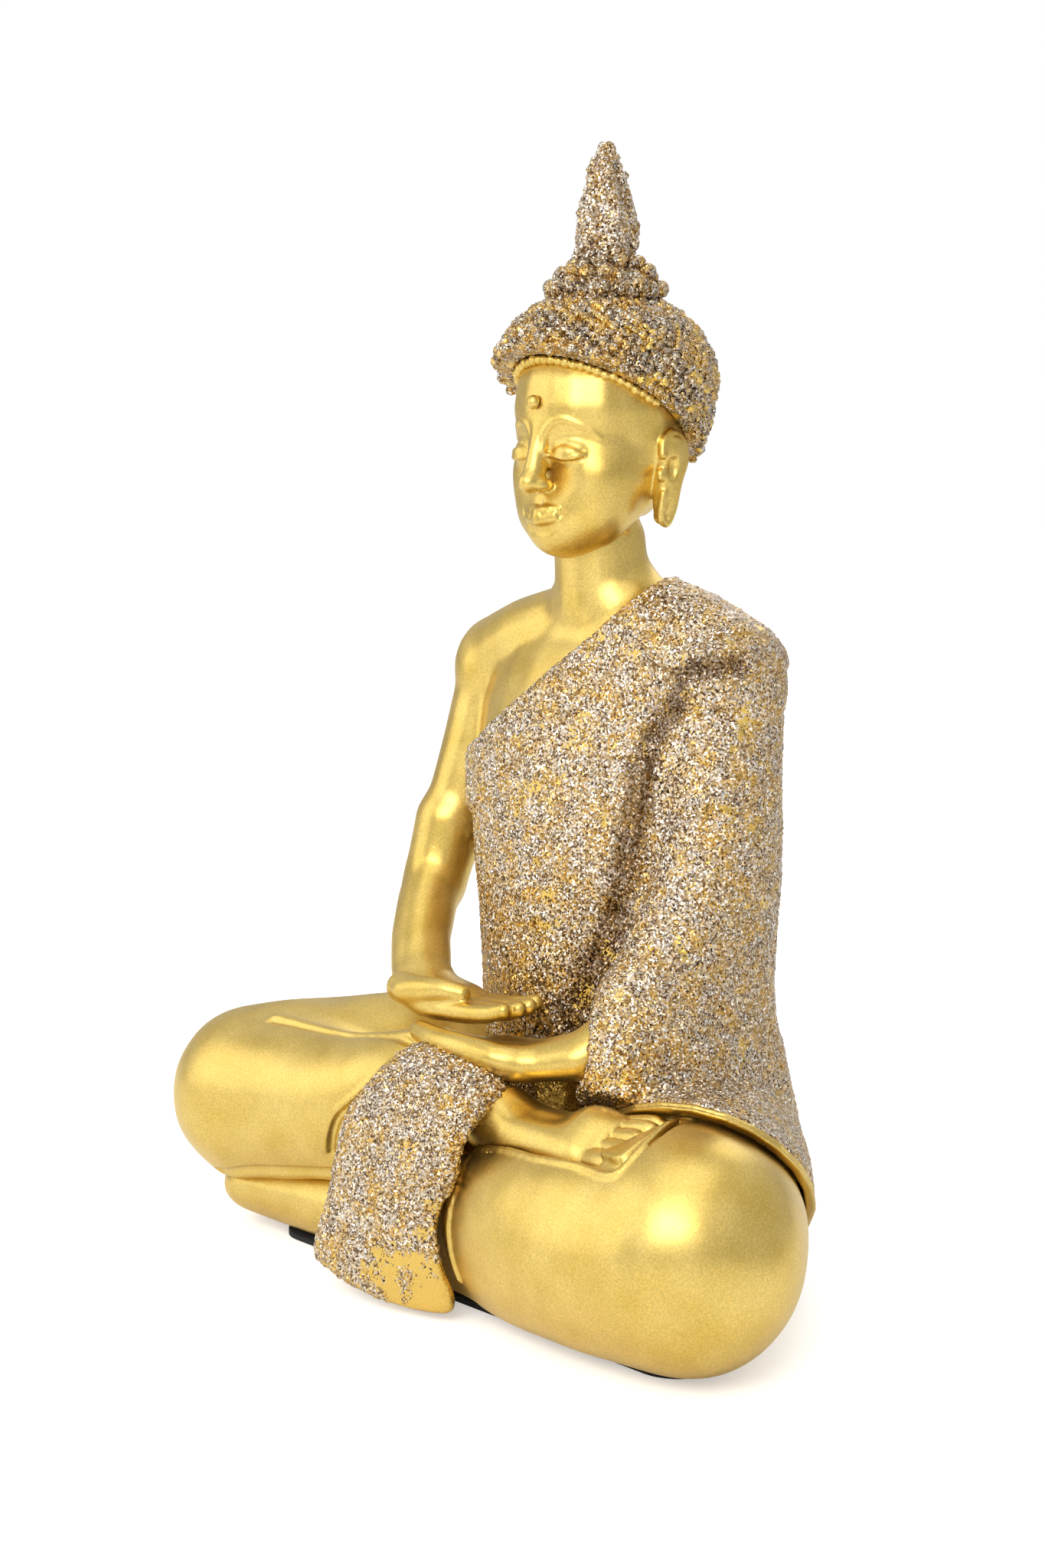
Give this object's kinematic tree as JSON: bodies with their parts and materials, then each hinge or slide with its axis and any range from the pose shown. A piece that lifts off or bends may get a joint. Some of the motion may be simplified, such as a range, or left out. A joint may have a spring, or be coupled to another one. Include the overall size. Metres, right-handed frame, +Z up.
{
  "type": "buddha statue",
  "caption": "Seated meditating figure with crossed legs, hands laid in the lap, a robe over one shoulder, curled hair and a flame-shaped finial.",
  "frame": {"origin": "on the surface the figure stands on, straight below the middle of the neck", "axes": "+Z up; the figure faces -Y; its own left side is +X"},
  "size_m": [0.2196, 0.12, 0.3],
  "materials": {
    "gold": "satin metallic gold paint over resin",
    "glitter": "champagne glitter bonded over gold paint",
    "felt": "black pressed felt",
    "resin": "unpainted cast resin",
    "steel": "drawn wire"
  },
  "bodies": {
    "root": {"base_felt": "felt", "base_plate": "resin", "left_leg": "gold", "left_foot": "gold", "right_leg": "gold", "right_foot": "gold", "seat": "gold", "torso": "gold", "right_forearm": "gold", "left_forearm": "gold", "head": "gold", "neck_dowel": "steel", "urna": "gold", "hairline_beads": "gold", "hair_cap": "glitter", "ushnisha": "glitter", "flame_finial": "glitter", "finial_pin": "steel", "shoulder_sash": "glitter", "robe_body": "glitter", "sleeve_drape": "glitter", "sleeve_hem": "gold", "lap_drape": "glitter"}
  },
  "joints": []
}
